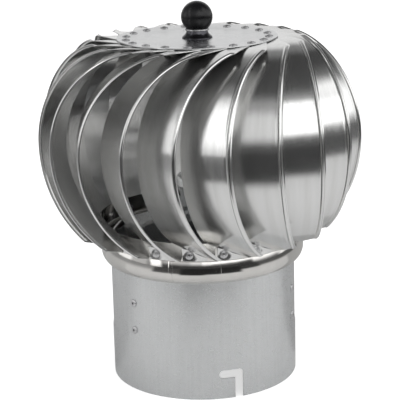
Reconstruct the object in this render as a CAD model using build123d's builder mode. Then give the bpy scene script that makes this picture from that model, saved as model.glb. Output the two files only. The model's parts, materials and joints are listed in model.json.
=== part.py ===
from build123d import *
from math import acos, asin, atan2, cos, degrees, hypot, radians, sin, sqrt, tan
import os

# Rotating chimney cowl, DN 150. +Z is up, the origin is on the axis at the tube's lower rim.
# The front of the object faces -Y. Azimuths are in degrees from +X, turning towards +Y.

# Base tube
tube_r = 75.0
tube_wall = 0.8
tube_height = 112.0
sized_end_length = 40.0
sized_end_swell = 0.55
sized_end_taper = 2.0

# Bayonet slots in the tube's lower edge
slot_count = 3
slot_azimuth = -74.4
slot_width = 6.6
slot_top = 23.5
slot_length = 19.4

# Rivet pairs that hold the bracket arms in the tube
arm_count = 3
arm_azimuth = 102.3
arm_rivet_low = 50.5
arm_rivet_pitch = 22.5

# Blind rivets
rivet_shank_r = 1.6
rivet_head_r = 3.2
rivet_head_height = 1.1
rivet_pin_r = 0.95
rivet_hole_gap = 0.05
rivet_tail_r = 2.2
rivet_tail_length = 1.25

# Bracket arms
arm_width = 20.0
arm_thickness = 3.0
arm_foot_rise = 0.5
arm_top = 141.0
arm_bend_r = 8.0
arm_inner_r = 19.0
arm_seat_gap = 0.05

# Bearing housing
housing_r = 17.0
housing_bottom = 121.0
housing_top = 163.0
housing_flange_r = 36.0
housing_flange_thickness = 4.0
housing_shoulder_r = 11.0
screw_circle_r = 29.0
screw_spacing = 10.0
screw_r = 2.0
screw_head_r = 3.5
screw_head_height = 2.8
screw_socket_flats = 3.0
screw_socket_depth = 1.8
nut_flats = 7.0
nut_height = 3.2

# Deep groove ball bearings
bearing_bore_r = 5.0
bearing_outer_r = 13.0
bearing_width = 8.0
bearing_ball_r = 2.4
bearing_ball_count = 8
bearing_land = 2.5
bearing_groove_gap = 0.03
bearing_inset = 3.0
cage_height = 5.6
cage_gap = 0.25
ring_thickness = 1.2
ring_groove_depth = 0.9
ring_opening = 30.0
fit_gap = 0.02

# Axle
axle_r = bearing_bore_r
axle_shoulder_r = 6.5
axle_tail = 13.0
axle_nut_flats = 16.0
axle_nut_height = 8.0
axle_washer_r = 9.0
axle_washer_thickness = 1.6
axle_stud_r = 4.0
axle_chamfer = 0.6
dust_cap_r = 19.5
dust_cap_wall = 1.0
dust_cap_skirt = 8.0
dust_cap_gap = 0.6

# Top disc: a shallow dish
disc_r = 63.5
disc_thickness = 0.8
disc_rim_z = 276.5
disc_slope = 2.8
disc_well_rim_r = 50.0
disc_well_r = 44.0
disc_well_z = 275.2
disc_rivet_circle_r = 56.7
disc_rivet_grip = 2.9

# Hub flange under the disc
hub_flange_r = 17.0
hub_flange_thickness = 3.0
hub_sleeve_r = 9.5
hub_sleeve_length = 17.0
set_screw_r = 2.5
set_screw_length = 4.2

# Cone nut, washer and ball knob on top
cone_base_r = 12.0
cone_top_r = 8.3
cone_height = 6.0
washer_r = 9.6
washer_thickness = 1.5
ball_r = 12.45
ball_flat_r = 8.7
insert_r = 6.5
insert_depth = 13.0

# Turbine blades: strips rolled to two radii that meet at the equator
blade_count = 20
blade_phase = 10.0
blade_thickness = 0.5
blade_width = 42.0
blade_equator_z = 199.0
blade_reach = 100.0
blade_offset = 81.1
blade_tilt = 2.5
blade_upper_roll_r = 76.6
blade_lower_roll_r = 90.7
blade_upper_sweep = 88.5
blade_lower_sweep = 66.0
bead_r = 1.5
bead_edge = 2.2
bead_upper_sweep = 82.0
bead_lower_sweep = 57.5
tab_tip_lead = 85.3
tab_rivet_lead = 75.4
tab_tongue_r = 7.0
tab_root_x = 27.0
tab_root_gap = 5.0
tab_overrun = 0.6

# Collar ring
collar_lip_r = 76.4
collar_lip_z = 96.0
collar_belly_r = 82.4
collar_belly_z = 109.0
collar_neck_z = 114.0
collar_band_r = 84.0
collar_band_z = 117.0
collar_top_z = 131.0
collar_thickness = 0.8
collar_lap_start = -106.8
collar_lap_sweep = 26.5
collar_lap_thickness = 0.5

# Blade feet on the collar ring's band
foot_bottom_z = 117.3
foot_heel = 7.5
foot_rivet_inset = 5.0
foot_height = 14.0
foot_gap = 0.03
blade_hem_z = 117.2
blade_hem_slope = 17.0
collar_rivet_z = 121.9

# Cutting solids reach well past the sheet that they cut
cut_reach = 40.0
hole_reach = 12.0

# Worked out sizes
pitch = 360 / blade_count
tube_bore_r = tube_r - tube_wall
taper_top_z = sized_end_length + sized_end_taper
arm_rivet_heights = [arm_rivet_low, arm_rivet_low + arm_rivet_pitch]
arm_azimuths = [arm_azimuth + 360 / arm_count * i for i in range(arm_count)]
flange_top = arm_top - arm_thickness
arm_foot_bottom = taper_top_z + arm_foot_rise
bearing_mid_r = (bearing_bore_r + bearing_outer_r) / 2
lower_bearing_z = housing_bottom + bearing_inset
upper_bearing_z = housing_top - bearing_inset - bearing_width
disc_under_z = disc_well_z - disc_thickness
cone_top_z = disc_well_z + cone_height
ball_flat_z = cone_top_z + washer_thickness
ball_centre_z = ball_flat_z + sqrt(ball_r**2 - ball_flat_r**2)
axle_top = ball_flat_z + insert_depth - 2.0
axle_bottom = lower_bearing_z - axle_tail
axle_shoulder_top = housing_top + dust_cap_gap
slot_leg_height = slot_top - slot_width
blade_lead = degrees(atan2(blade_offset, blade_reach))
foot_in_r = collar_band_r + foot_gap
foot_out_r = foot_in_r + blade_thickness
landing_drop = blade_equator_z - foot_bottom_z
landing_x = blade_reach - blade_lower_roll_r + sqrt(blade_lower_roll_r**2 - landing_drop**2)
landing_lead = degrees(acos(landing_x / foot_in_r))
foot_start_lead = landing_lead - pitch
foot_end_lead = landing_lead - degrees(foot_heel / foot_in_r)
collar_rivet_lead = foot_start_lead + degrees(foot_rivet_inset / foot_in_r)

os.makedirs("parts", exist_ok=True)


def save(piece, name):
    """Label a finished piece and write it to its own file."""
    piece.label = name
    export_step(piece, f"parts/{name}.step")


def ring_solid(inner, outer, bottom, top):
    """A plain ring or sleeve about the axis."""
    with BuildPart() as ring:
        with BuildSketch(Plane.XY.offset(bottom)):
            Circle(outer)
            Circle(inner, mode=Mode.SUBTRACT)
        extrude(amount=top - bottom)
    return ring.part


def radial_plane(azimuth, radius, height):
    """A plane whose normal points outwards from the axis, with its x along the azimuth's tangent."""
    out = Vector(cos(radians(azimuth)), sin(radians(azimuth)), 0)
    tangent = Vector(-sin(radians(azimuth)), cos(radians(azimuth)), 0)
    return Plane(origin=out * radius + Vector(0, 0, height), x_dir=tangent, z_dir=out)


def rivet(grip):
    """A set blind rivet: domed head above z = 0 with its pin hole, shank and pulled tail below."""
    with BuildPart() as piece:
        with BuildSketch(Plane.XZ):
            with BuildLine():
                tail_z = -grip - 0.05
                Polyline(
                    (rivet_pin_r, tail_z - rivet_tail_length),
                    (rivet_tail_r, tail_z - rivet_tail_length),
                    (rivet_tail_r, tail_z),
                    (rivet_shank_r, tail_z),
                    (rivet_shank_r, 0),
                    (rivet_head_r, 0),
                    (rivet_head_r, rivet_head_height * 0.35),
                )
                ThreePointArc(
                    (rivet_head_r, rivet_head_height * 0.35),
                    (rivet_head_r * 0.72, rivet_head_height * 0.85),
                    (rivet_pin_r, rivet_head_height),
                )
                Line((rivet_pin_r, rivet_head_height), (rivet_pin_r, tail_z - rivet_tail_length))
            make_face()
        revolve(axis=Axis.Z)
    return piece.part


def bore(radius, bottom, top):
    """A solid plug about the axis, used to cut a bore."""
    with BuildPart() as plug:
        with BuildSketch(Plane.XY.offset(bottom)):
            Circle(radius)
        extrude(amount=top - bottom)
    return plug.part


def copies(piece, planes, name):
    """The same piece at each plane, kept as separate solids of one node."""
    group = Compound(children=[plane.location * piece for plane in planes])
    save(group, name)


# Base tube: rolled sheet with a slightly wider sized end, bayonet slots and holes for the arm rivets
tube_rivet_planes = [radial_plane(a, tube_r + 0.01, z) for a in arm_azimuths for z in arm_rivet_heights]
slot_planes = [radial_plane(slot_azimuth + 360 / slot_count * i, tube_r - 5, 0) for i in range(slot_count)]
with BuildPart() as base_tube:
    with BuildSketch(Plane.XZ):
        with BuildLine():
            Polyline(
                (tube_bore_r, tube_height),
                (tube_r, tube_height),
                (tube_r, taper_top_z),
                (tube_r + sized_end_swell, sized_end_length),
                (tube_r + sized_end_swell, 0),
                (tube_bore_r + sized_end_swell, 0),
                (tube_bore_r + sized_end_swell, sized_end_length),
                (tube_bore_r, taper_top_z),
                (tube_bore_r, tube_height),
            )
        make_face()
    revolve(axis=Axis.Z)
    with BuildSketch(*slot_planes):
        half = slot_length / 2
        end_r = slot_width / 2
        with BuildLine():
            Line((half, -1), (half, slot_top - end_r))
            RadiusArc((half, slot_top - end_r), (half - end_r, slot_top), -end_r)
            Line((half - end_r, slot_top), (end_r - half, slot_top))
            slot_end = (-half, slot_top - end_r)
            ThreePointArc((end_r - half, slot_top), slot_end, (end_r - half, slot_leg_height))
            Line((end_r - half, slot_leg_height), (half - slot_width, slot_leg_height))
            Line((half - slot_width, slot_leg_height), (half - slot_width, -1))
            Line((half - slot_width, -1), (half, -1))
        make_face()
    extrude(amount=10, mode=Mode.SUBTRACT)
    with BuildSketch(*tube_rivet_planes):
        Circle(rivet_shank_r + rivet_hole_gap)
    extrude(amount=-5, mode=Mode.SUBTRACT)
save(base_tube.part, "base_tube")
copies(rivet(tube_wall + arm_thickness + arm_seat_gap + 0.01), tube_rivet_planes, "tube_rivets")

# Bracket arms: strips pressed to the tube's curve, bent over and screwed on the housing's flange
screw_points = [(screw_circle_r, -screw_spacing / 2), (screw_circle_r, screw_spacing / 2)]
arm_out_r = tube_bore_r - arm_seat_gap
bend_z = arm_top - arm_bend_r
with BuildPart() as arm:
    with BuildSketch(Plane.XZ):
        with BuildLine():
            Line((arm_out_r, arm_foot_bottom), (arm_out_r, bend_z))
            RadiusArc((arm_out_r, bend_z), (arm_out_r - arm_bend_r, arm_top), -arm_bend_r)
            Line((arm_out_r - arm_bend_r, arm_top), (arm_inner_r - 1, arm_top))
            Line((arm_inner_r - 1, arm_top), (arm_inner_r - 1, flange_top))
            Line((arm_inner_r - 1, flange_top), (arm_out_r - arm_bend_r, flange_top))
            in_r = arm_bend_r - arm_thickness
            RadiusArc((arm_out_r - arm_bend_r, flange_top), (arm_out_r - arm_thickness, bend_z), in_r)
            Line((arm_out_r - arm_thickness, bend_z), (arm_out_r - arm_thickness, arm_foot_bottom))
            Line((arm_out_r - arm_thickness, arm_foot_bottom), (arm_out_r, arm_foot_bottom))
        make_face()
    revolve(axis=Axis.Z)
    with BuildSketch(Plane.XY.offset(arm_foot_bottom - 1)):
        with Locations(((arm_inner_r + tube_r) / 2, 0)):
            Rectangle(tube_r - arm_inner_r, arm_width)
    extrude(amount=arm_top - arm_foot_bottom + 2, mode=Mode.INTERSECT)
    with BuildSketch(Plane.XY.offset(arm_top)):
        with Locations(*screw_points):
            Circle(screw_r + 0.15)
    extrude(amount=-arm_thickness, mode=Mode.SUBTRACT)
    with BuildSketch(*[radial_plane(0, tube_r, z) for z in arm_rivet_heights]):
        Circle(rivet_shank_r + rivet_hole_gap)
    extrude(amount=-5, mode=Mode.SUBTRACT)
for i, azimuth in enumerate(arm_azimuths):
    save(arm.part.rotate(Axis.Z, azimuth), f"spider_arm_{i + 1}")

# Bearing housing: a turned sleeve with a flange, a bearing seat and a ring groove at each end
lower_ring_z = lower_bearing_z - ring_thickness - fit_gap
upper_ring_z = upper_bearing_z + bearing_width + fit_gap
seat_r = bearing_outer_r + fit_gap
groove_r = bearing_outer_r + ring_groove_depth
screw_places = []
for azimuth in arm_azimuths:
    frame = Plane.XY.rotated((0, 0, azimuth)).offset(arm_top)
    for x, y in screw_points:
        origin = frame.from_local_coords((x, y, 0))
        screw_places.append(Plane(origin=origin, x_dir=frame.x_dir, z_dir=(0, 0, 1)))
with BuildPart() as bearing_housing:
    with BuildSketch(Plane.XY.offset(housing_bottom)):
        Circle(housing_r)
    extrude(amount=housing_top - housing_bottom)
    with BuildSketch(Plane.XY.offset(flange_top - housing_flange_thickness)):
        Circle(housing_flange_r)
    extrude(amount=housing_flange_thickness)
    add(bore(housing_shoulder_r, housing_bottom, housing_top), mode=Mode.SUBTRACT)
    add(bore(seat_r, housing_bottom, lower_bearing_z + bearing_width), mode=Mode.SUBTRACT)
    add(bore(seat_r, upper_bearing_z, housing_top), mode=Mode.SUBTRACT)
    add(bore(groove_r, lower_ring_z - fit_gap, lower_ring_z + ring_thickness + fit_gap), mode=Mode.SUBTRACT)
    add(bore(groove_r, upper_ring_z - fit_gap, upper_ring_z + ring_thickness + fit_gap), mode=Mode.SUBTRACT)
    with BuildSketch(*screw_places):
        Circle(screw_r + 0.1)
    extrude(amount=-arm_thickness - housing_flange_thickness - 1, mode=Mode.SUBTRACT)
save(bearing_housing.part, "bearing_housing")

# Arm screws and nuts
screw_tip = arm_thickness + housing_flange_thickness + nut_height + 1.2
with BuildPart() as screw:
    with BuildSketch(Plane.XY):
        Circle(screw_head_r)
    extrude(amount=screw_head_height)
    with BuildSketch(Plane.XY):
        Circle(screw_r)
    extrude(amount=-screw_tip)
    with BuildSketch(Plane.XY.offset(screw_head_height - screw_socket_depth)):
        RegularPolygon(screw_socket_flats / 2, 6, major_radius=False)
    extrude(amount=screw_socket_depth, mode=Mode.SUBTRACT)
copies(screw.part, screw_places, "arm_screws")
with BuildPart() as nut:
    with BuildSketch(Plane.XY.offset(-arm_thickness - housing_flange_thickness)):
        RegularPolygon(nut_flats / 2, 6, major_radius=False)
        Circle(screw_r + fit_gap, mode=Mode.SUBTRACT)
    extrude(amount=-nut_height)
copies(nut.part, screw_places, "arm_nuts")


def bearing_ring(inner, outer, bottom):
    """One ring of a bearing with the ball groove cut in it."""
    with BuildPart() as ring:
        add(ring_solid(inner, outer, bottom, bottom + bearing_width))
        with BuildSketch(Plane.XZ):
            with Locations((bearing_mid_r, bottom + bearing_width / 2)):
                Circle(bearing_ball_r + bearing_groove_gap)
        revolve(axis=Axis.Z, mode=Mode.SUBTRACT)
    return ring.part


def retaining_ring(bottom, azimuth):
    """An open ring that springs into the housing's groove."""
    spread = 20 * tan(radians(ring_opening / 2))
    with BuildPart() as ring:
        add(ring_solid(groove_r - 2.6, groove_r - fit_gap, bottom, bottom + ring_thickness))
        with BuildSketch(Plane.XY.rotated((0, 0, azimuth)).offset(bottom)):
            with BuildLine():
                Polyline((0, 0), (20, -spread), (20, spread), (0, 0))
            make_face()
        extrude(amount=ring_thickness, mode=Mode.SUBTRACT)
    return ring.part


# The two bearings, held by rings in the housing
ball_angles = [360 / bearing_ball_count * i for i in range(bearing_ball_count)]
for name, bottom, ring_z, opening in [
    ("lower", lower_bearing_z, lower_ring_z, 30),
    ("upper", upper_bearing_z, upper_ring_z, 210),
]:
    middle = bottom + bearing_width / 2
    save(bearing_ring(bearing_outer_r - bearing_land, bearing_outer_r, bottom), f"{name}_bearing_outer")
    save(bearing_ring(bearing_bore_r, bearing_bore_r + bearing_land, bottom), f"{name}_bearing_inner")
    save(retaining_ring(ring_z, opening), f"housing_circlip_{name}")
    cage_in_r = bearing_mid_r - bearing_land / 2 - 0.25 + cage_gap
    cage_out_r = bearing_mid_r + bearing_land / 2 + 0.25 - cage_gap
    ball_planes = [radial_plane(a, bearing_mid_r, middle) for a in ball_angles]
    with BuildPart() as cage:
        add(ring_solid(cage_in_r, cage_out_r, middle - cage_height / 2, middle + cage_height / 2))
        with Locations(*ball_planes):
            Cylinder(bearing_ball_r + 0.05, 6, mode=Mode.SUBTRACT)
    save(cage.part, f"{name}_bearing_cage")
    with BuildPart() as ball:
        Sphere(bearing_ball_r)
    copies(ball.part, [Plane(origin=plane.origin) for plane in ball_planes], f"{name}_bearing_balls")

# Spacer between the bearings' inner rings
spacer_bottom = lower_bearing_z + bearing_width
spacer = ring_solid(axle_r + fit_gap, bearing_bore_r + bearing_land - 0.6, spacer_bottom, upper_bearing_z)
save(spacer, "bearing_spacer")

# Axle: turns in the bearings, its shoulder rests on the upper one, its stud carries cone nut and knob
with BuildPart() as axle:
    with BuildSketch(Plane.XZ):
        with BuildLine():
            Polyline(
                (0, axle_bottom),
                (axle_r - axle_chamfer, axle_bottom),
                (axle_r - fit_gap, axle_bottom + axle_chamfer),
                (axle_r - fit_gap, upper_bearing_z + bearing_width),
                (axle_shoulder_r, upper_bearing_z + bearing_width),
                (axle_shoulder_r, axle_shoulder_top),
                (axle_r, axle_shoulder_top),
                (axle_r, disc_under_z),
                (axle_stud_r, disc_under_z),
                (axle_stud_r, axle_top - axle_chamfer),
                (axle_stud_r - axle_chamfer, axle_top),
                (0, axle_top),
                (0, axle_bottom),
            )
        make_face()
    revolve(axis=Axis.Z)
save(axle.part, "axle")
washer_bottom = lower_bearing_z - axle_washer_thickness
axle_washer = ring_solid(axle_r + 0.1, axle_washer_r, washer_bottom, lower_bearing_z)
save(axle_washer, "axle_washer")
with BuildPart() as axle_nut:
    with BuildSketch(Plane.XY.offset(washer_bottom)):
        RegularPolygon(axle_nut_flats / 2, 6, major_radius=False)
        Circle(axle_r + fit_gap, mode=Mode.SUBTRACT)
    extrude(amount=-axle_nut_height)
save(axle_nut.part, "axle_nut")

# Dust cap over the housing, pushed on the axle above its shoulder
cap_top = axle_shoulder_top + dust_cap_wall
with BuildPart() as dust_cap:
    with BuildSketch(Plane.XZ):
        with BuildLine():
            Polyline(
                (axle_r + fit_gap, axle_shoulder_top),
                (dust_cap_r - dust_cap_wall, axle_shoulder_top),
                (dust_cap_r - dust_cap_wall, cap_top - dust_cap_skirt),
                (dust_cap_r, cap_top - dust_cap_skirt),
                (dust_cap_r, cap_top - 1.5),
                (dust_cap_r - 1.5, cap_top),
                (axle_r + 3, cap_top),
                (axle_r + 3, cap_top + 4),
                (axle_r + fit_gap, cap_top + 4),
                (axle_r + fit_gap, axle_shoulder_top),
            )
        make_face()
    revolve(axis=Axis.Z)
save(dust_cap.part, "dust_cap")

# Hub flange that carries the disc, locked to the axle by a set screw
sleeve_bottom = disc_under_z - hub_sleeve_length
set_screw_plane = radial_plane(-60, hub_sleeve_r - 0.3, sleeve_bottom + 6)
with BuildPart() as hub_flange:
    with BuildSketch(Plane.XY.offset(sleeve_bottom)):
        Circle(hub_sleeve_r)
    extrude(amount=hub_sleeve_length)
    with BuildSketch(Plane.XY.offset(disc_under_z)):
        Circle(hub_flange_r)
    extrude(amount=-hub_flange_thickness)
    add(bore(axle_r + fit_gap, sleeve_bottom, disc_under_z), mode=Mode.SUBTRACT)
    with BuildSketch(radial_plane(-60, hub_sleeve_r + 1, sleeve_bottom + 6)):
        Circle(set_screw_r + fit_gap)
    extrude(amount=-6, mode=Mode.SUBTRACT)
save(hub_flange.part, "hub_flange")
with BuildPart() as hub_set_screw:
    with BuildSketch(set_screw_plane):
        Circle(set_screw_r)
    extrude(amount=-set_screw_length + 0.05)
    with BuildSketch(set_screw_plane):
        RegularPolygon(1.25, 6, major_radius=False)
    extrude(amount=-2, mode=Mode.SUBTRACT)
save(hub_set_screw.part, "hub_set_screw")


def disc_top_z(radius):
    """Height of the disc's upper side on its sloping rim zone."""
    return disc_rim_z - (disc_r - radius) * tan(radians(disc_slope))


def disc_rivet_plane(azimuth):
    """A plane on the disc's sloping upper side, at the rivet circle."""
    along = Vector(cos(radians(azimuth)), sin(radians(azimuth)), 0)
    tangent = Vector(-sin(radians(azimuth)), cos(radians(azimuth)), 0)
    normal = Vector(0, 0, cos(radians(disc_slope))) - along * sin(radians(disc_slope))
    foot = along * disc_rivet_circle_r + Vector(0, 0, disc_top_z(disc_rivet_circle_r) + 0.01)
    return Plane(origin=foot, x_dir=tangent, z_dir=normal)


# Top disc: a sheet pressed to a shallow dish with a flat well for the cone nut
disc_rivet_azimuths = [blade_phase - blade_lead + tab_rivet_lead + pitch * i for i in range(blade_count)]
disc_rivet_planes = [disc_rivet_plane(a) for a in disc_rivet_azimuths]
well_edge_z = disc_top_z(disc_well_rim_r)
with BuildPart() as top_disc:
    with BuildSketch(Plane.XZ):
        with BuildLine():
            well_middle = ((disc_well_rim_r + disc_well_r) / 2, (well_edge_z + disc_well_z) / 2)
            upper_side = [
                (disc_r, disc_rim_z),
                (disc_well_rim_r, well_edge_z),
                well_middle,
                (disc_well_r, disc_well_z),
                (axle_stud_r + 0.1, disc_well_z),
            ]
            Polyline(*upper_side)
            Polyline(*[(x, z - disc_thickness) for x, z in upper_side])
            Line((disc_r, disc_rim_z), (disc_r, disc_rim_z - disc_thickness))
            Line((axle_stud_r + 0.1, disc_well_z), (axle_stud_r + 0.1, disc_under_z))
        make_face()
    revolve(axis=Axis.Z)
    with BuildSketch(*disc_rivet_planes):
        Circle(rivet_shank_r + rivet_hole_gap)
    extrude(amount=2 * disc_thickness, both=True, mode=Mode.SUBTRACT)
save(top_disc.part, "top_disc")
copies(rivet(disc_rivet_grip), disc_rivet_planes, "disc_rivets")

# Cone nut on the stud, washer and ball knob
with BuildPart() as hub_cone:
    with BuildSketch(Plane.XZ):
        with BuildLine():
            Polyline(
                (axle_stud_r + fit_gap, disc_well_z),
                (cone_base_r, disc_well_z),
                (cone_base_r, disc_well_z + 0.8),
                (cone_top_r, cone_top_z),
                (axle_stud_r + fit_gap, cone_top_z),
                (axle_stud_r + fit_gap, disc_well_z),
            )
        make_face()
    revolve(axis=Axis.Z)
save(hub_cone.part, "hub_cone")
save(ring_solid(axle_stud_r + 0.3, washer_r, cone_top_z, ball_flat_z), "knob_washer")
with BuildPart() as ball_knob:
    with Locations((0, 0, ball_centre_z)):
        Sphere(ball_r)
    with BuildSketch(Plane.XY.offset(ball_flat_z)):
        Circle(2 * ball_r)
    extrude(amount=-ball_r, mode=Mode.SUBTRACT)
    add(bore(insert_r + fit_gap, ball_flat_z, ball_flat_z + insert_depth + fit_gap), mode=Mode.SUBTRACT)
save(ball_knob.part, "ball_knob")
with BuildPart() as knob_insert:
    add(bore(insert_r, ball_flat_z, ball_flat_z + insert_depth))
    add(bore(axle_stud_r + fit_gap, ball_flat_z, axle_top + 0.5), mode=Mode.SUBTRACT)
save(knob_insert.part, "knob_insert")

# Collar ring: a barrel-shaped sheet ring with a lapped seam in its belly
collar_rivet_azimuths = [blade_phase - blade_lead + collar_rivet_lead + pitch * i for i in range(blade_count)]
collar_rivet_planes = [radial_plane(a, foot_out_r + 0.01, collar_rivet_z) for a in collar_rivet_azimuths]
belly_depth = collar_belly_r - collar_lip_r
belly_height = collar_belly_z - collar_lip_z
belly_roll_r = (belly_depth**2 + belly_height**2) / (2 * belly_depth)
belly_centre_r = collar_belly_r - belly_roll_r
lip_angle = -asin(belly_height / belly_roll_r)


def belly_point(offset, share):
    """A point on the belly's arc, offset outwards; share 0 is the lip and share 1 the widest part."""
    angle = lip_angle * (1 - share)
    radius = belly_roll_r + offset
    return (belly_centre_r + radius * cos(angle), collar_belly_z + radius * sin(angle))


def collar_profile(outer, inner, neck_z, with_band):
    """The closed section of the collar sheet between two offsets from its outer side."""
    with BuildLine() as profile:
        ThreePointArc(belly_point(outer, 0), belly_point(outer, 0.5), belly_point(outer, 1))
        ThreePointArc(belly_point(inner, 0), belly_point(inner, 0.5), belly_point(inner, 1))
        Line(belly_point(outer, 0), belly_point(inner, 0))
        for side in (outer, inner):
            neck = (collar_belly_r + side, neck_z)
            Line(belly_point(side, 1), neck)
            if with_band:
                Line(neck, (collar_band_r + side, collar_band_z))
                Line((collar_band_r + side, collar_band_z), (collar_band_r + side, collar_top_z))
        end_r = collar_band_r if with_band else collar_belly_r
        end_z = collar_top_z if with_band else neck_z
        Line((end_r + outer, end_z), (end_r + inner, end_z))
    return profile.line


collar_outline = collar_profile(0, -collar_thickness, collar_neck_z, True)
lap_outline = collar_profile(collar_lap_thickness, 0, collar_neck_z, False)
with BuildPart() as collar_ring:
    with BuildSketch(Plane.XZ):
        with BuildLine():
            add(collar_outline)
        make_face()
    revolve(axis=Axis.Z)
    with BuildSketch(Plane.XZ.rotated((0, 0, collar_lap_start))):
        with BuildLine():
            add(lap_outline)
        make_face()
    revolve(axis=Axis.Z, revolution_arc=collar_lap_sweep)
    with BuildSketch(*collar_rivet_planes):
        Circle(rivet_shank_r + rivet_hole_gap)
    extrude(amount=-4, mode=Mode.SUBTRACT)
save(collar_ring.part, "collar_ring")
copies(rivet(blade_thickness + collar_thickness + 0.06), collar_rivet_planes, "collar_rivets")


# Turbine blade, built in its own frame: the equator's outer edge is at (blade_reach, blade_offset)
tilt = radians(blade_tilt)
across = Vector(0, -cos(tilt), -sin(tilt))
upwards = Vector(0, -sin(tilt), cos(tilt))
upper_centre = Vector(blade_reach - blade_upper_roll_r, blade_offset, blade_equator_z)
lower_centre = Vector(blade_reach - blade_lower_roll_r, blade_offset, blade_equator_z)


def roll_plane(sweep):
    """The strip's cross plane at a sweep angle above (+) or below (-) the equator."""
    centre, radius = (upper_centre, blade_upper_roll_r) if sweep >= 0 else (lower_centre, blade_lower_roll_r)
    outwards = Vector(cos(radians(sweep)), 0, 0) + upwards * sin(radians(sweep))
    return Plane(origin=centre + outwards * radius, x_dir=outwards, z_dir=outwards.cross(across))


def strip_section(plane):
    """The strip's flat section, its outer edge at the plane's origin."""
    with BuildSketch(plane) as section:
        with Locations((0, blade_width / 2)):
            Rectangle(blade_thickness, blade_width)
    return section.sketch


def bead_section(plane):
    """The half round bead pressed along the strip's outer edge."""
    with BuildSketch(plane) as section:
        with BuildLine():
            ThreePointArc((0, bead_edge - bead_r), (bead_r, bead_edge), (0, bead_edge + bead_r))
            Line((0, bead_edge + bead_r), (0, bead_edge - bead_r))
        make_face()
    return section.sketch


def tangent_point(point, centre, radius, side):
    """Where a line from a point touches a circle."""
    dx = point[0] - centre[0]
    dy = point[1] - centre[1]
    angle = atan2(dy, dx) + side * acos(radius / hypot(dx, dy))
    return (centre[0] + radius * cos(angle), centre[1] + radius * sin(angle))


def polar(radius, azimuth):
    """A plan point from its radius and azimuth."""
    return (radius * cos(radians(azimuth)), radius * sin(radians(azimuth)))


equator = roll_plane(0)
upper_roll = Axis(upper_centre, across)
lower_roll = Axis(lower_centre, -across)
tab_corner = roll_plane(bead_upper_sweep).origin
tab_start = roll_plane(blade_upper_sweep)
tab_length = (tab_start.origin.X + tab_overrun) / sin(radians(blade_upper_sweep))
tab_tip = polar(disc_r, tab_tip_lead)
tab_hole = polar(disc_rivet_circle_r, tab_rivet_lead)
tab_root = (tab_root_x, blade_offset - blade_width - tab_root_gap)
tongue_start = tangent_point(tab_tip, tab_hole, tab_tongue_r, 1)
tongue_end = tangent_point(tab_root, tab_hole, tab_tongue_r, -1)
tongue_turn = (atan2(tongue_start[1] - tab_hole[1], tongue_start[0] - tab_hole[0]) % radians(360)
               + atan2(tongue_end[1] - tab_hole[1], tongue_end[0] - tab_hole[0]) % radians(360)) / 2
tongue_middle = (tab_hole[0] + tab_tongue_r * cos(tongue_turn), tab_hole[1] + tab_tongue_r * sin(tongue_turn))

with BuildPart() as foot:
    with BuildSketch(Plane.XY.offset(foot_bottom_z)):
        Circle(foot_out_r)
        Circle(foot_in_r, mode=Mode.SUBTRACT)
    extrude(amount=foot_height)
    foot_middle = (foot_start_lead + foot_end_lead) / 2
    foot_half = foot_in_r * sin(radians(foot_end_lead - foot_start_lead) / 2)
    with BuildSketch(radial_plane(foot_middle, collar_band_r - cut_reach, foot_bottom_z)):
        with Locations((0, foot_height / 2)):
            Rectangle(2 * foot_half, foot_height)
    extrude(amount=2 * cut_reach, mode=Mode.INTERSECT)
    with BuildSketch(Plane(origin=lower_centre, x_dir=(1, 0, 0), z_dir=across)):
        Circle(blade_lower_roll_r - blade_thickness / 2)
    extrude(amount=blade_width + cut_reach, mode=Mode.SUBTRACT)

with BuildPart() as blade:
    add(revolve(strip_section(equator), upper_roll, blade_upper_sweep, mode=Mode.PRIVATE))
    add(revolve(strip_section(equator), lower_roll, blade_lower_sweep, mode=Mode.PRIVATE))
    add(extrude(strip_section(tab_start), amount=-tab_length, mode=Mode.PRIVATE))
    add(revolve(bead_section(equator), upper_roll, bead_upper_sweep, mode=Mode.PRIVATE))
    add(revolve(bead_section(equator), lower_roll, bead_lower_sweep, mode=Mode.PRIVATE))
    with BuildSketch(Plane.XY.offset(disc_rim_z - cut_reach / 2)):
        with BuildLine():
            Line((tab_corner.X, tab_corner.Y), tab_tip)
            Line(tab_tip, tongue_start)
            ThreePointArc(tongue_start, tongue_middle, tongue_end)
            Line(tongue_end, tab_root)
            Polyline(
                tab_root,
                (tab_root[0], tab_root[1] - cut_reach),
                (-cut_reach, tab_root[1] - cut_reach),
                (-cut_reach, blade_offset + cut_reach),
                (tab_corner.X, blade_offset + cut_reach),
                (tab_corner.X, tab_corner.Y),
            )
        make_face()
    extrude(amount=cut_reach, mode=Mode.SUBTRACT)
    hole_planes = [disc_rivet_plane(tab_rivet_lead), disc_rivet_plane(tab_rivet_lead - pitch)]
    with BuildSketch(*hole_planes):
        Circle(rivet_shank_r + rivet_hole_gap)
    extrude(amount=-hole_reach, mode=Mode.SUBTRACT)
    add(bore(foot_in_r, collar_lip_z, collar_top_z + 5), mode=Mode.SUBTRACT)
    with BuildSketch(Plane.XZ):
        hem_drop = cut_reach * tan(radians(blade_hem_slope))
        with BuildLine():
            Polyline(
                (collar_band_r - cut_reach, blade_hem_z - hem_drop),
                (collar_band_r + cut_reach, blade_hem_z + hem_drop),
                (collar_band_r + cut_reach, collar_lip_z - hem_drop),
                (collar_band_r - cut_reach, collar_lip_z - hem_drop),
                (collar_band_r - cut_reach, blade_hem_z - hem_drop),
            )
        make_face()
    revolve(axis=Axis.Z, mode=Mode.SUBTRACT)
    add(foot.part)
    with BuildSketch(radial_plane(collar_rivet_lead, foot_out_r + 1, collar_rivet_z)):
        Circle(rivet_shank_r + rivet_hole_gap)
    extrude(amount=-3, mode=Mode.SUBTRACT)
for i in range(blade_count):
    save(blade.part.rotate(Axis.Z, blade_phase - blade_lead + pitch * i), f"blade_{i + 1:02d}")
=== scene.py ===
import json
import math

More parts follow.
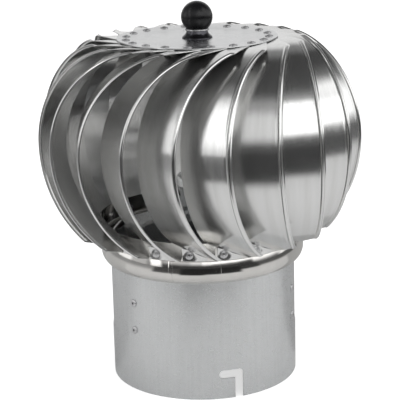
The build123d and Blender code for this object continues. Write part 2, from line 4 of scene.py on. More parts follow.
import bmesh
import bpy
from mathutils import Matrix, Vector


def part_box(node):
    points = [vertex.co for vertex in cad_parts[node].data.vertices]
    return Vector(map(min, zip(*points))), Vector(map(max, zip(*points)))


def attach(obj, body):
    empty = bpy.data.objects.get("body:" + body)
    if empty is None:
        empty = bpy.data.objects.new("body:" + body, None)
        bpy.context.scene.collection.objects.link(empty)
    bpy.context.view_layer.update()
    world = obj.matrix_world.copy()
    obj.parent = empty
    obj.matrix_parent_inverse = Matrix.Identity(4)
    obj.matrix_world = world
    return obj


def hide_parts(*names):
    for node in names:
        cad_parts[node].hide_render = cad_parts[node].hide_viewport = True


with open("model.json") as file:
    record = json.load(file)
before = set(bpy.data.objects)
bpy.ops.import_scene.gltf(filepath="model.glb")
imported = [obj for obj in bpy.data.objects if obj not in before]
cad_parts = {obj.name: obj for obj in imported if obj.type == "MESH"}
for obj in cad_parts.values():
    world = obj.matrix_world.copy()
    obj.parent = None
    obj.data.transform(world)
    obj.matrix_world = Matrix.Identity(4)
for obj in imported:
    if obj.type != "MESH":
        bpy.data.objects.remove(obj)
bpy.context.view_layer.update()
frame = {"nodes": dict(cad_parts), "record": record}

MM = 0.001
DEGREES = 180 / math.pi

# Sizes shared with the CAD source, in mm and degrees
BLADES = 20
PHASE = 10.0
SHEET = 0.5
EQUATOR_Z = 199.0
REACH = 100.0
OFFSET = 81.1
TILT = math.radians(2.5)
WIDTH = 42.0
ROLL_UP = 76.6
ROLL_LOW = 90.7
SWEEP_UP = 88.5
BEAD_UP = 82.0
BEAD_LOW = 57.5
COLLAR_BAND_R = 84.0
FOOT_IN_R = COLLAR_BAND_R + 0.03
HEM_Z = 117.2
HEM_SLOPE = math.tan(math.radians(17.0))
DISC_R = 63.5
DISC_RIVET_R = 56.7
DISC_RIVET_LEAD = 75.4
TAB_TIP_LEAD = 85.3
TAB_TONGUE_R = 7.0
TAB_ROOT_X = 27.0
TAB_ROOT_GAP = 5.0
COLLAR_RIVET_Z = 121.9
COLLAR_RIVET_LEAD = 40.0
FOOT_Z = 117.3
FOOT_START_LEAD = 36.6
FOOT_END_LEAD = 49.5
LEAD = math.degrees(math.atan2(OFFSET, REACH))

# The bead along the blade's outer edge, in mm from that edge
BEAD_START = 0.75
BEAD_END = 3.75
BEAD_RISE = 1.45
BEAD_FULLNESS = 0.75
BEAD_INNER_SHARE = 0.8
BEAD_FADE_UP = 2.5
BEAD_FADE_LOW = 1.5
BEAD_FADE_FULLNESS = 0.6
BEAD_STEPS = 12
GROOVE_END = 5.4
GROOVE_DEPTH = 0.12
BEAD_AT = [0.0, 0.4]
BEAD_AT += [BEAD_START + (BEAD_END - BEAD_START) * i / BEAD_STEPS for i in range(BEAD_STEPS + 1)]
BEAD_AT += [4.2, 4.7, GROOVE_END, 6.2]

# How finely a blade is divided, and where its lower end is looked for
LOW_STATIONS = 70
UP_STATIONS = 72
TAB_STATIONS = 26
PLAIN_COLUMNS = 12
BEAD_ROOM = 14.0
END_WIDTH = 0.05
END_INSET = 0.02
LEAST_WIDTH = 0.02
TAB_END_GAP = 0.05
FOOT_SWEEP = -40.0
END_SWEEPS = (-58.0, -66.0)
HALVINGS = 40
BLADE_SHARP = 50.0

# The blade's foot on the collar's band, and the crease above it
FOOT_COLUMNS = 26
FOOT_ROWS = 16
FOOT_MM_PER_DEGREE = 1.47
FOOT_LIFT = 0.25
FOOT_LEAN = 0.17
RIVET_HOLD = 3.3
RIVET_FADE = 4.5
CREASE_STEPS = 32
CREASE_EDGES = (17.0, 37.0)
CREASE_SWEEPS = (-70.0, -30.0)
CREASE_LAP = 0.15

# The collar ring's polished barrel, with its lap seam
COLLAR_LIP_R = 76.4
COLLAR_LIP_Z = 96.2
COLLAR_WIDEST_R = 82.4
COLLAR_WIDEST_Z = 105.4
COLLAR_UPPER_ROLL_R = 32.0
COLLAR_CREASE_Z = 115.4
COLLAR_BAND_Z = 117.0
COLLAR_TOP_Z = 131.0
COLLAR_SHEET = 0.8
COLLAR_ROLL_STEPS = 16
COLLAR_TURN_STEPS = 240
COLLAR_SHARP = 30.0
# steps of the corner below the band: inwards from its radius, below its lower edge
BAND_CORNER = ((0.35, 0.35), (0.1, 0.1), (0.0, -0.2))
LAP_START = -106.8
LAP_END = LAP_START + 26.5
LAP_RISE = 0.14
LAP_LIP_START = LAP_START - 2.0
LAP_LIP_END = LAP_START - 0.3
LAP_LIP_SHARE = 0.6
LAP_EDGE_TURNS = (-0.35, -0.08, 0.08, 0.35)

# The ball knob and what it stands on
BALL_R = 12.45
BALL_FLAT_R = 8.7
BALL_FLAT_ROUND = 0.25
BALL_FLAT_TURN = 1.5
BALL_STEPS = 60
BALL_SHARP = 50.0
INSERT_R = 6.52
INSERT_DEPTH = 13.02
STUD_R = 4.05
WASHER_R = 9.6
WASHER_PLAY = 0.25
WASHER_EDGE = 0.3
CONE_BASE_R = 12.0
# steps of the cone nut's foot: inwards from its radius, above its bottom
CONE_FOOT = ((0.1, 0.0), (0.0, 0.15), (0.0, 0.7), (0.35, 1.1))
CONE_SHOULDER_R = 10.35
CONE_SHOULDER_RISE = 2.2
CONE_WAIST_R = 9.3
CONE_WAIST_RISE = 0.2
CONE_NECK_R = 8.7
CONE_NECK_RISE = 1.3
CONE_TOP_R = 8.3
CONE_TOP_FLARE = 0.15
CONE_TOP_DROP = 0.8

# Copies and turned pieces
JOIN_DISTANCE = 1e-6
SHARP_ANGLE = 35.0
LATHE_STEPS = 192
SIDE_FACE = 0.3
WALL_FACE = 0.5

# Stretches of a noise: most of it, its middle, its upper part and only its peaks
MOST = (0.3, 0.7)
MIDDLE = (0.35, 0.65)
UPPER = (0.35, 0.7)
HIGH = (0.5, 0.75)
PEAKS = (0.5, 0.8)

# Inputs and outputs of a mix node, by its kind
MIX_FACTOR = 0
MIX_VALUES = (2, 3)
MIX_VALUE = 0
MIX_COLORS = (6, 7)
MIX_COLOR = 2

# Floor, lamp and world
FLOOR_REACH = 8.0
FLOOR_DROP = 0.0002
FLOOR_WHITE = (0.86, 0.86, 0.86)
FLOOR_DARK = (0.03, 0.03, 0.03)
FLOOR_GLOW = 0.64
FLOOR_SOFT = 2.0
LAMP_ENERGY = 20.0
LAMP_SIZE = 2.4
LAMP_PLACE = (0, -0.2, 2.2)
WORLD_BOW = 0.012
WORLD_PLAIN = 0.16
WORLD_LEAST = 0.05

# Camera, in radians and metres
CAMERA_YAW = -0.0010
CAMERA_PITCH = 0.26768
CAMERA_ROLL = -0.02528
CAMERA_Y = -1.0909
CAMERA_Z = 0.4416
CAMERA_LENS = 125.25
CAMERA_SENSOR = 36.0
CAMERA_NEAR = 0.05
CAMERA_FAR = 50.0


# Helpers
def polar(radius, azimuth):
    """(x, y) at a radius and an azimuth in degrees."""
    return (radius * math.cos(math.radians(azimuth)), radius * math.sin(math.radians(azimuth)))


def mesh_in_mm(name, verts, faces):
    mesh = bpy.data.meshes.new(name)
    mesh.from_pydata([(x * MM, y * MM, z * MM) for x, y, z in verts], [], faces)
    return mesh


def shade(mesh, sharp):
    """Smooth shading, but for edges that turn by more than an angle in degrees."""
    mesh.shade_smooth()
    mesh.set_sharp_from_angle(angle=math.radians(sharp))


def placed(name, data):
    """An object of the scene with this mesh, lamp or camera."""
    piece = bpy.data.objects.new(name, data)
    bpy.context.scene.collection.objects.link(piece)
    return piece


def smooth_copy(source, name):
    """A copy of a CAD node's mesh with its points joined and its round faces shaded smooth."""
    work = bmesh.new()
    work.from_mesh(frame["nodes"][source].data)
    bmesh.ops.remove_doubles(work, verts=work.verts, dist=JOIN_DISTANCE)
    mesh = bpy.data.meshes.new(name)
    work.to_mesh(mesh)
    work.free()
    shade(mesh, SHARP_ANGLE)
    return placed(name, mesh)


def turned_copy(source, name):
    """A copy of a turned CAD node, shaded by its true round form whatever its triangles are."""
    piece = smooth_copy(source, name)
    mesh = piece.data
    normals = [tuple(corner.vector) for corner in mesh.corner_normals]
    for face in mesh.polygons:
        away = math.hypot(face.center.x, face.center.y)
        out_x = face.center.x / away
        out_y = face.center.y / away
        outward = face.normal.x * out_x + face.normal.y * out_y
        sideways = face.normal.y * out_x - face.normal.x * out_y
        if abs(sideways) > SIDE_FACE:
            continue
        level = math.copysign(math.hypot(face.normal.x, face.normal.y), outward)
        rise = face.normal.z
        if abs(rise) < WALL_FACE:
            level = math.copysign(1.0, outward)
            rise = 0.0
        for corner in face.loop_indices:
            point = mesh.vertices[mesh.loops[corner].vertex_index].co
            reach = math.hypot(point.x, point.y)
            normals[corner] = (level * point.x / reach, level * point.y / reach, rise)
    mesh.normals_split_custom_set(normals)
    return piece


def arc_points(centre, radius, start, end, count):
    """Points of an arc in a lathe's section, between two angles in degrees."""
    points = []
    for i in range(count + 1):
        angle = math.radians(start + (end - start) * i / count)
        points.append((centre[0] + radius * math.cos(angle), centre[1] + radius * math.sin(angle)))
    return points


def lathe(name, outline, azimuths=None, shift=None, sharp=SHARP_ANGLE):
    """A turned piece from a closed outline of (radius, height) points in mm, optionally shifted outwards."""
    azimuths = azimuths or [360 * i / LATHE_STEPS for i in range(LATHE_STEPS)]
    verts = []
    for azimuth in azimuths:
        for radius, height in outline:
            reach = radius + (shift(azimuth, radius, height) if shift else 0.0)
            verts.append((*polar(reach, azimuth), height))
    count = len(azimuths)
    rows = len(outline)
    faces = []
    for i in range(count):
        first = i * rows
        second = (i + 1) % count * rows
        for j in range(rows):
            faces.append((first + j, second + j, second + (j + 1) % rows, first + (j + 1) % rows))
    mesh = mesh_in_mm(name, verts, faces)
    work = bmesh.new()
    work.from_mesh(mesh)
    bmesh.ops.remove_doubles(work, verts=work.verts, dist=JOIN_DISTANCE / 10)
    bmesh.ops.dissolve_degenerate(work, edges=work.edges, dist=JOIN_DISTANCE / 100)
    bmesh.ops.recalc_face_normals(work, faces=work.faces)
    work.to_mesh(mesh)
    work.free()
    shade(mesh, sharp)
    return placed(name, mesh)


def put_on(piece, body, nodes, material):
    """Give a piece its material and body, and hide the CAD nodes whose place it takes."""
    piece.data.materials.append(material)
    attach(piece, body)
    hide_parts(*nodes)


# Node helpers
def start_material(name, color, metallic, roughness, **sockets):
    """A material with a Principled shader; a keyword names a further socket, with _ for each space."""
    material = bpy.data.materials.new(name)
    material.use_nodes = True
    tree = material.node_tree
    shader = tree.nodes["Principled BSDF"]
    shader.inputs["Base Color"].default_value = (*color, 1.0)
    shader.inputs["Metallic"].default_value = metallic
    shader.inputs["Roughness"].default_value = roughness
    for key, value in sockets.items():
        shader.inputs[key.replace("_", " ")].default_value = value
    return material, tree, shader


def node(tree, kind, **settings):
    made = tree.nodes.new(kind)
    for key, value in settings.items():
        setattr(made, key, value)
    return made


def noise(tree, source, scale, detail, roughness, stretch=None):
    """A noise over a vector socket, optionally stretched; returns its value socket."""
    if stretch is not None:
        mapping = node(tree, "ShaderNodeMapping")
        mapping.inputs["Scale"].default_value = stretch
        tree.links.new(source, mapping.inputs["Vector"])
        source = mapping.outputs["Vector"]
    made = node(tree, "ShaderNodeTexNoise")
    made.inputs["Scale"].default_value = scale
    made.inputs["Detail"].default_value = detail
    made.inputs["Roughness"].default_value = roughness
    tree.links.new(source, made.inputs["Vector"])
    return made.outputs["Fac"]


def remap(tree, value, low, high, to_low, to_high):
    made = node(tree, "ShaderNodeMapRange")
    made.inputs["From Min"].default_value = low
    made.inputs["From Max"].default_value = high
    made.inputs["To Min"].default_value = to_low
    made.inputs["To Max"].default_value = to_high
    tree.links.new(value, made.inputs["Value"])
    return made.outputs["Result"]


def mixed_color(tree, factor, first, second):
    """A mix of two colours, each a tuple or a socket."""
    made = node(tree, "ShaderNodeMix", data_type="RGBA")
    for socket, value in zip(MIX_COLORS, (first, second)):
        if isinstance(value, tuple):
            made.inputs[socket].default_value = (*value, 1.0)
        else:
            tree.links.new(value, made.inputs[socket])
    tree.links.new(factor, made.inputs[MIX_FACTOR])
    return made.outputs[MIX_COLOR]


def math_node(tree, operation, first, second=None):
    """The result of a sum on one or two values, each a number or a socket."""
    made = node(tree, "ShaderNodeMath", operation=operation)
    for index, value in enumerate((first, second)):
        if value is None:
            continue
        if isinstance(value, (int, float)):
            made.inputs[index].default_value = value
        else:
            tree.links.new(value, made.inputs[index])
    return made.outputs[0]


def times(tree, first, second):
    return math_node(tree, "MULTIPLY", first, second)


def larger(tree, first, second):
    return math_node(tree, "MAXIMUM", first, second)


def total(tree, parts):
    """The sum of a list of values."""
    result = parts[0]
    for part in parts[1:]:
        result = math_node(tree, "ADD", result, part)
    return result


def band(tree, value, low, high, soft):
    """One between two values and nothing outside them, with soft edges."""
    rise = remap(tree, value, low - soft, low + soft, 0.0, 1.0)
    fall = remap(tree, value, high - soft, high + soft, 1.0, 0.0)
    return times(tree, rise, fall)


def front_azimuth(tree, x, y):
    """Degrees round the axis from the front (-Y), positive to the right (+X)."""
    turn = math_node(tree, "ARCTAN2", x, times(tree, y, -1.0))
    return times(tree, turn, DEGREES)


def bump(tree, height, distance, chain=None):
    """A bump of a given depth in mm, optionally on top of another; returns its normal socket."""
    made = node(tree, "ShaderNodeBump")
    made.inputs["Strength"].default_value = 1.0
    made.inputs["Distance"].default_value = distance * MM
    tree.links.new(height, made.inputs["Height"])
    if chain is not None:
        tree.links.new(chain, made.inputs["Normal"])
    return made.outputs["Normal"]


def darker(color, share):
    return tuple(channel * share for channel in color)


# Materials
def add_haze(tree, shader, color, normal, roughness, share):
    """Mix in a wide, dull reflection, as brushed metal scatters part of the light far to the side."""
    dull = node(tree, "ShaderNodeBsdfPrincipled")
    dull.inputs["Metallic"].default_value = 1.0
    dull.inputs["Roughness"].default_value = roughness
    tree.links.new(color, dull.inputs["Base Color"])
    tree.links.new(normal, dull.inputs["Normal"])
    both = node(tree, "ShaderNodeMixShader")
    both.inputs[0].default_value = share
    tree.links.new(shader.outputs[0], both.inputs[1])
    tree.links.new(dull.outputs[0], both.inputs[2])
    tree.links.new(both.outputs[0], tree.nodes["Material Output"].inputs["Surface"])


def blade_steel():
    """Rolled stainless: fine grain along the strip, faint waviness and a few duller spots."""
    smoothest = 0.14
    roughest = 0.22
    spot_roughness = 0.05
    dark = (0.78, 0.78, 0.77)
    light = (0.84, 0.84, 0.835)
    material, tree, shader = start_material("blade_steel", (0.78, 0.78, 0.775), 1.0, 0.16, Anisotropic=0.55)
    strip = node(tree, "ShaderNodeUVMap", uv_map="strip").outputs["UV"]
    tangent = node(tree, "ShaderNodeTangent", direction_type="UV_MAP", uv_map="strip")
    tree.links.new(tangent.outputs["Tangent"], shader.inputs["Tangent"])
    grain = noise(tree, strip, scale=1.0, detail=4.0, roughness=0.6, stretch=(2600, 26, 1))
    waves = noise(tree, strip, scale=1.0, detail=2.0, roughness=0.5, stretch=(160, 9, 1))
    spots = noise(tree, strip, scale=1.0, detail=5.0, roughness=0.65, stretch=(90, 60, 1))
    rough = remap(tree, grain, *MOST, smoothest, roughest)
    rough = total(tree, [rough, remap(tree, spots, *PEAKS, 0.0, spot_roughness)])
    tree.links.new(rough, shader.inputs["Roughness"])
    tint = mixed_color(tree, remap(tree, waves, *MIDDLE, 0.0, 1.0), dark, light)
    tree.links.new(tint, shader.inputs["Base Color"])
    relief = bump(tree, waves, 0.06, chain=bump(tree, grain, 0.003))
    tree.links.new(relief, shader.inputs["Normal"])
    add_haze(tree, shader, tint, relief, roughness=0.5, share=0.1)
    return material


def polished(name, color, smoothest, roughest, stretch=(300, 300, 3000)):
    """Polished or turned metal with a faint grain round the axis and a few smudges."""
    smudge_roughness = 0.05
    material, tree, shader = start_material(name, color, 1.0, smoothest)
    place = node(tree, "ShaderNodeTexCoord").outputs["Object"]
    grain = noise(tree, place, scale=1.0, detail=3.0, roughness=0.6, stretch=stretch)
    smudge = noise(tree, place, scale=45.0, detail=4.0, roughness=0.6)
    rough = remap(tree, grain, *MOST, smoothest, roughest)
    rough = total(tree, [rough, remap(tree, smudge, *HIGH, 0.0, smudge_roughness)])
    tree.links.new(rough, shader.inputs["Roughness"])
    tint = mixed_color(tree, remap(tree, smudge, *UPPER, 0.0, 1.0), darker(color, 0.88), color)
    tree.links.new(tint, shader.inputs["Base Color"])
    tree.links.new(bump(tree, grain, 0.006), shader.inputs["Normal"])
    return material


def galvanised(name, color, rough):
    """Matt zinc sheet: soft spangle, fine grain, clouds and faint vertical drag marks."""
    material, tree, shader = start_material(name, color, 1.0, rough)
    place = node(tree, "ShaderNodeTexCoord").outputs["Object"]
    cells = node(tree, "ShaderNodeTexVoronoi", feature="F1")
    cells.inputs["Scale"].default_value = 160.0
    cells.inputs["Randomness"].default_value = 1.0
    tree.links.new(place, cells.inputs["Vector"])
    separate = node(tree, "ShaderNodeSeparateColor")
    tree.links.new(cells.outputs["Color"], separate.inputs["Color"])
    spangle = separate.outputs["Red"]
    fine = noise(tree, place, scale=900.0, detail=4.0, roughness=0.65)
    cloud = noise(tree, place, scale=22.0, detail=4.0, roughness=0.55)
    drag = noise(tree, place, scale=1.0, detail=3.0, roughness=0.6, stretch=(420, 420, 12))
    tones = [
        # pattern, its stretch, how far it shifts the tone each way
        (spangle, (0.0, 1.0), 0.008),
        (fine, MOST, 0.03),
        (cloud, MOST, 0.012),
        (drag, MIDDLE, 0.015),
    ]
    value = total(tree, [remap(tree, pattern, *stretch, -by, by) for pattern, stretch, by in tones])
    tone = remap(tree, value, -0.1, 0.1, 0.0, 1.0)
    light = tuple(min(1.0, channel * 1.12) for channel in color)
    tree.links.new(mixed_color(tree, tone, darker(color, 0.86), light), shader.inputs["Base Color"])
    grain_rough = remap(tree, fine, *MOST, rough - 0.05, rough + 0.05)
    cell_rough = remap(tree, spangle, 0.0, 1.0, -0.008, 0.008)
    tree.links.new(total(tree, [grain_rough, cell_rough]), shader.inputs["Roughness"])
    relief = bump(tree, fine, 0.03, chain=bump(tree, spangle, 0.002))
    tree.links.new(relief, shader.inputs["Normal"])
    return material


def satin(name, color, rough, metallic=1.0, scale=500.0):
    """An even satin surface with a fine grain and faint clouds."""
    material, tree, shader = start_material(name, color, metallic, rough)
    place = node(tree, "ShaderNodeTexCoord").outputs["Object"]
    fine = noise(tree, place, scale=scale, detail=4.0, roughness=0.6)
    cloud = noise(tree, place, scale=60.0, detail=3.0, roughness=0.5)
    tree.links.new(remap(tree, fine, *MOST, rough - 0.05, rough + 0.06), shader.inputs["Roughness"])
    tint = mixed_color(tree, remap(tree, cloud, *MOST, 0.0, 1.0), darker(color, 0.82), color)
    tree.links.new(tint, shader.inputs["Base Color"])
    tree.links.new(bump(tree, fine, 0.01), shader.inputs["Normal"])
    return material


def gloss_black(name, color, smoothest, roughest):
    """Moulded glossy plastic with faint orange peel and handling haze."""
    material, tree, shader = start_material(name, color, 0.0, smoothest, Specular_IOR_Level=0.35)
    place = node(tree, "ShaderNodeTexCoord").outputs["Object"]
    peel = noise(tree, place, scale=700.0, detail=2.0, roughness=0.5)
    haze = noise(tree, place, scale=140.0, detail=4.0, roughness=0.6)
    tree.links.new(remap(tree, haze, *UPPER, smoothest, roughest), shader.inputs["Roughness"])
    tree.links.new(bump(tree, peel, 0.01), shader.inputs["Normal"])
    return material


STEEL = blade_steel()
COLLAR = polished("collar_steel", (0.80, 0.785, 0.76), 0.06, 0.11)
DISC = polished("disc_sheet", (0.72, 0.725, 0.73), 0.2, 0.28, (900, 900, 900))
ZINC = galvanised("galvanised", (0.745, 0.755, 0.76), 0.3)
HOUSING = satin("housing_steel", (0.45, 0.46, 0.47), 0.38)
RIVET = satin("rivet_aluminium", (0.72, 0.72, 0.73), 0.3, scale=1500.0)
FASTENER = satin("fastener_steel", (0.66, 0.66, 0.67), 0.25, scale=1200.0)
BEARING = polished("bearing_steel", (0.72, 0.72, 0.73), 0.08, 0.14)
SPRING = satin("spring_steel", (0.14, 0.14, 0.15), 0.4)
CAGE = satin("cage_plastic", (0.08, 0.08, 0.09), 0.5, metallic=0.0)
AXLE = polished("axle_steel", (0.60, 0.60, 0.61), 0.22, 0.32, (200, 200, 4000))
CONE = polished("cone_metal", (0.085, 0.085, 0.095), 0.16, 0.22, (60, 60, 1500))
BLACK = gloss_black("knob_plastic", (0.008, 0.008, 0.009), 0.22, 0.32)


# The shape of a blade, in the frame of a blade whose roll faces +X
ACROSS = (0.0, -math.cos(TILT), -math.sin(TILT))
UPWARDS = (0.0, -math.sin(TILT), math.cos(TILT))


def roll_radius(sweep):
    """The strip is rolled to one radius above its widest place and to another below it."""
    return ROLL_UP if sweep >= 0 else ROLL_LOW


def strip_point(sweep, run, edge, off):
    """A point of the rolled strip: sweep in degrees, run in mm past its end, edge across it, off outwards."""
    roll = roll_radius(sweep)
    cosine = math.cos(math.radians(sweep))
    sine = math.sin(math.radians(sweep))
    out = (cosine, UPWARDS[1] * sine, UPWARDS[2] * sine)
    along = (-sine, UPWARDS[1] * cosine, UPWARDS[2] * cosine)
    centre = (REACH - roll, OFFSET, EQUATOR_Z)
    reach = roll + off
    return tuple(centre[i] + out[i] * reach + along[i] * run + ACROSS[i] * edge for i in range(3))


def tangent_point(point, centre, radius, side):
    """Where a line from a point touches a circle, on one side (1) or the other (-1)."""
    dx = point[0] - centre[0]
    dy = point[1] - centre[1]
    angle = math.atan2(dy, dx) + side * math.acos(radius / math.hypot(dx, dy))
    return (centre[0] + radius * math.cos(angle), centre[1] + radius * math.sin(angle))


CORNER = strip_point(BEAD_UP, 0, 0, 0)
TIP = polar(DISC_R, TAB_TIP_LEAD)
HOLE = polar(DISC_RIVET_R, DISC_RIVET_LEAD)
ROOT = (TAB_ROOT_X, OFFSET - WIDTH - TAB_ROOT_GAP)
TONGUE_A = tangent_point(TIP, HOLE, TAB_TONGUE_R, 1)
TONGUE_B = tangent_point(ROOT, HOLE, TAB_TONGUE_R, -1)


def line_at(first, second, x):
    """The y at one x of the line through two points."""
    return first[1] + (second[1] - first[1]) * (x - first[0]) / (second[0] - first[0])


def tab_inner(x):
    """The tab's inner bound (y) at one x: root, round tongue at the rivet, tip."""
    if x > TONGUE_B[0]:
        return line_at(ROOT, TONGUE_B, x)
    if x > TONGUE_A[0]:
        return HOLE[1] - math.sqrt(max(0.0, TAB_TONGUE_R**2 - (x - HOLE[0]) ** 2))
    return line_at(TONGUE_A, TIP, x)


def root_of(function, low, high):
    """Where a function changes sign between two values."""
    at_low = function(low)
    for _ in range(HALVINGS):
        middle = (low + high) / 2
        if (function(middle) > 0) == (at_low > 0):
            low = middle
        else:
            high = middle
    return (low + high) / 2


def over_band(sweep, edge):
    """How far a point of the strip stands outside the collar's band."""
    point = strip_point(sweep, 0, edge, 0)
    return math.hypot(point[0], point[1]) - FOOT_IN_R


def over_hem(sweep, edge):
    """How far a point of the strip stands above the blade's lower hem."""
    point = strip_point(sweep, 0, edge, 0)
    return point[2] - HEM_Z - (math.hypot(point[0], point[1]) - COLLAR_BAND_R) * HEM_SLOPE


def edge_limits(sweep, run):
    """Where the strip starts and ends across its width at one station along it."""
    first = strip_point(sweep, run, 0, 0)
    low = 0.0
    high = WIDTH
    if sweep > 0 and first[0] < CORNER[0]:
        low = max(0.0, (first[1] - line_at(CORNER, TIP, first[0])) / math.cos(TILT))
        if first[0] < ROOT[0]:
            high = min(WIDTH, (first[1] - tab_inner(first[0])) / math.cos(TILT))
    if sweep < FOOT_SWEEP:
        if over_band(sweep, WIDTH) < 0:
            high = root_of(lambda edge: over_band(sweep, edge), 0.0, WIDTH)
        if over_hem(sweep, 0.0) < 0:
            low = root_of(lambda edge: over_hem(sweep, edge), 0.0, high)
    return low, max(high, low + LEAST_WIDTH)


def end_width_left(sweep):
    """How much wider the strip still is at a sweep than it may be at its end."""
    low, high = edge_limits(sweep, 0)
    return high - low - END_WIDTH


def bead_height(edge):
    """The pressed bead: a low lip, a round rib 3 mm wide and a faint groove beside it."""
    if BEAD_START < edge < BEAD_END:
        return BEAD_RISE * math.sin(math.pi * (edge - BEAD_START) / (BEAD_END - BEAD_START)) ** BEAD_FULLNESS
    if BEAD_END <= edge < GROOVE_END:
        return -GROOVE_DEPTH * math.sin(math.pi * (edge - BEAD_END) / (GROOVE_END - BEAD_END))
    return 0.0


def bead_share(sweep, run):
    """How much of the bead's height there is at a station: it runs out at both ends."""
    if run > 0:
        return 0.0
    up = min(1.0, max(0.0, (BEAD_UP - sweep) / BEAD_FADE_UP))
    down = min(1.0, max(0.0, (sweep + BEAD_LOW) / BEAD_FADE_LOW))
    return min(up, down) ** BEAD_FADE_FULLNESS


def foot_bulge(azimuth, height):
    """How far the foot's sheet stands off the collar's band: it leans out, and is pulled in at the rivet."""
    beside = math.radians(azimuth - COLLAR_RIVET_LEAD) * FOOT_IN_R
    away = math.hypot(beside, height - COLLAR_RIVET_Z)
    free = min(1.0, max(0.0, (away - RIVET_HOLD) / RIVET_FADE))
    free = free * free * (3 - 2 * free)
    return free * (FOOT_LIFT + FOOT_LEAN * (height - FOOT_Z))


def sheet_faces(first, rows, columns, flipped=False):
    """Faces of a thin sheet whose points stand in rows, each with its outer side before its inner side."""

    def at(i, side, j):
        return first + (i * 2 + side) * columns + j

    def facing(a, b, c, d):
        return (a, d, c, b) if flipped else (a, b, c, d)

    faces = []
    for i in range(rows - 1):
        for j in range(columns - 1):
            faces.append(facing(at(i, 0, j), at(i, 0, j + 1), at(i + 1, 0, j + 1), at(i + 1, 0, j)))
            faces.append(facing(at(i, 1, j), at(i + 1, 1, j), at(i + 1, 1, j + 1), at(i, 1, j + 1)))
        for j in (0, columns - 1):
            rim = facing(at(i, 0, j), at(i + 1, 0, j), at(i + 1, 1, j), at(i, 1, j))
            faces.append(rim if j == 0 else rim[::-1])
    for i in (0, rows - 1):
        for j in range(columns - 1):
            end = facing(at(i, 0, j), at(i, 1, j), at(i, 1, j + 1), at(i, 0, j + 1))
            faces.append(end if i == 0 else end[::-1])
    return faces


def strip_stations():
    """(sweep, run) of each row along the strip: the lower roll, the upper roll and the flat tab."""
    last = root_of(end_width_left, *END_SWEEPS)
    stations = []
    for i in range(LOW_STATIONS):
        stations.append((last + END_INSET - last * (i / LOW_STATIONS), 0.0))
    for i in range(UP_STATIONS + 1):
        stations.append((SWEEP_UP * i / UP_STATIONS, 0.0))
    end_run = strip_point(SWEEP_UP, 0, 0, 0)[0] - TIP[0] - TAB_END_GAP
    for i in range(1, TAB_STATIONS + 1):
        stations.append((SWEEP_UP, end_run * i / TAB_STATIONS))
    return stations


def strip_part():
    """Points of the rolled strip, their places on the flat strip, and the number of rows."""
    verts = []
    coords = []
    stations = strip_stations()
    for sweep, run in stations:
        low, high = edge_limits(sweep, run)
        squeeze = min(1.0, (high - low) / BEAD_ROOM)
        edges = [low + at * squeeze for at in BEAD_AT]
        start = edges[-1]
        edges += [start + (high - start) * j / PLAIN_COLUMNS for j in range(1, PLAIN_COLUMNS + 1)]
        length = roll_radius(sweep) * math.radians(sweep) + run
        for side, share in ((1, 1.0), (-1, BEAD_INNER_SHARE)):
            for edge in edges:
                rise = bead_height(edge) * bead_share(sweep, run)
                verts.append(strip_point(sweep, run, edge, side * SHEET / 2 + rise * share))
                coords.append((edge * MM, length * MM))
    return verts, coords, len(stations)


def crease_line():
    """(azimuth, height) of points where the strip comes down on the collar's band."""
    points = []
    for i in range(CREASE_STEPS + 1):
        edge = CREASE_EDGES[0] + (CREASE_EDGES[1] - CREASE_EDGES[0]) * i / CREASE_STEPS
        sweep = root_of(lambda angle: over_band(angle, edge), *CREASE_SWEEPS)
        x, y, z = strip_point(sweep, 0, edge, 0)
        points.append((math.degrees(math.atan2(y, x)), z))
    return sorted(points)


def height_on(line, azimuth):
    """The height of a line of (azimuth, height) points at one azimuth, level beyond its ends."""
    for (before, low), (after, high) in zip(line, line[1:]):
        if before <= azimuth <= after:
            return low + (high - low) * (azimuth - before) / (after - before)
    return line[0][1] if azimuth < line[0][0] else line[-1][1]


def foot_part():
    """Points and places of the foot that lies on the collar's band, up to the crease."""
    verts = []
    coords = []
    crease = crease_line()
    for i in range(FOOT_COLUMNS + 1):
        azimuth = FOOT_START_LEAD + (FOOT_END_LEAD - FOOT_START_LEAD) * i / FOOT_COLUMNS
        top = height_on(crease, azimuth)
        for radius in (FOOT_IN_R + SHEET, FOOT_IN_R):
            for j in range(FOOT_ROWS + 1):
                z = FOOT_Z + (top + CREASE_LAP - FOOT_Z) * j / FOOT_ROWS
                verts.append((*polar(radius + foot_bulge(azimuth, z), azimuth), z))
                coords.append((azimuth * FOOT_MM_PER_DEGREE * MM, z * MM))
    return verts, coords


def blade_mesh():
    """One blade: the rolled strip with its tab, and the foot on the collar."""
    strip_verts, strip_coords, rows = strip_part()
    foot_verts, foot_coords = foot_part()
    faces = sheet_faces(0, rows, len(BEAD_AT) + PLAIN_COLUMNS)
    faces += sheet_faces(len(strip_verts), FOOT_COLUMNS + 1, FOOT_ROWS + 1, flipped=True)
    mesh = mesh_in_mm("blade", strip_verts + foot_verts, faces)
    coords = strip_coords + foot_coords
    layer = mesh.uv_layers.new(name="strip")
    for loop in mesh.loops:
        layer.data[loop.index].uv = coords[loop.vertex_index]
    shade(mesh, BLADE_SHARP)
    return mesh


BLADE = blade_mesh()
for k in range(BLADES):
    turned = BLADE.copy()
    turned.transform(Matrix.Rotation(math.radians(PHASE - LEAD + 360 / BLADES * k), 4, "Z"))
    piece = placed(f"turbine_blade_{k + 1:02d}", turned)
    put_on(piece, "rotor", [f"blade_{k + 1:02d}"], STEEL)
bpy.data.meshes.remove(BLADE)


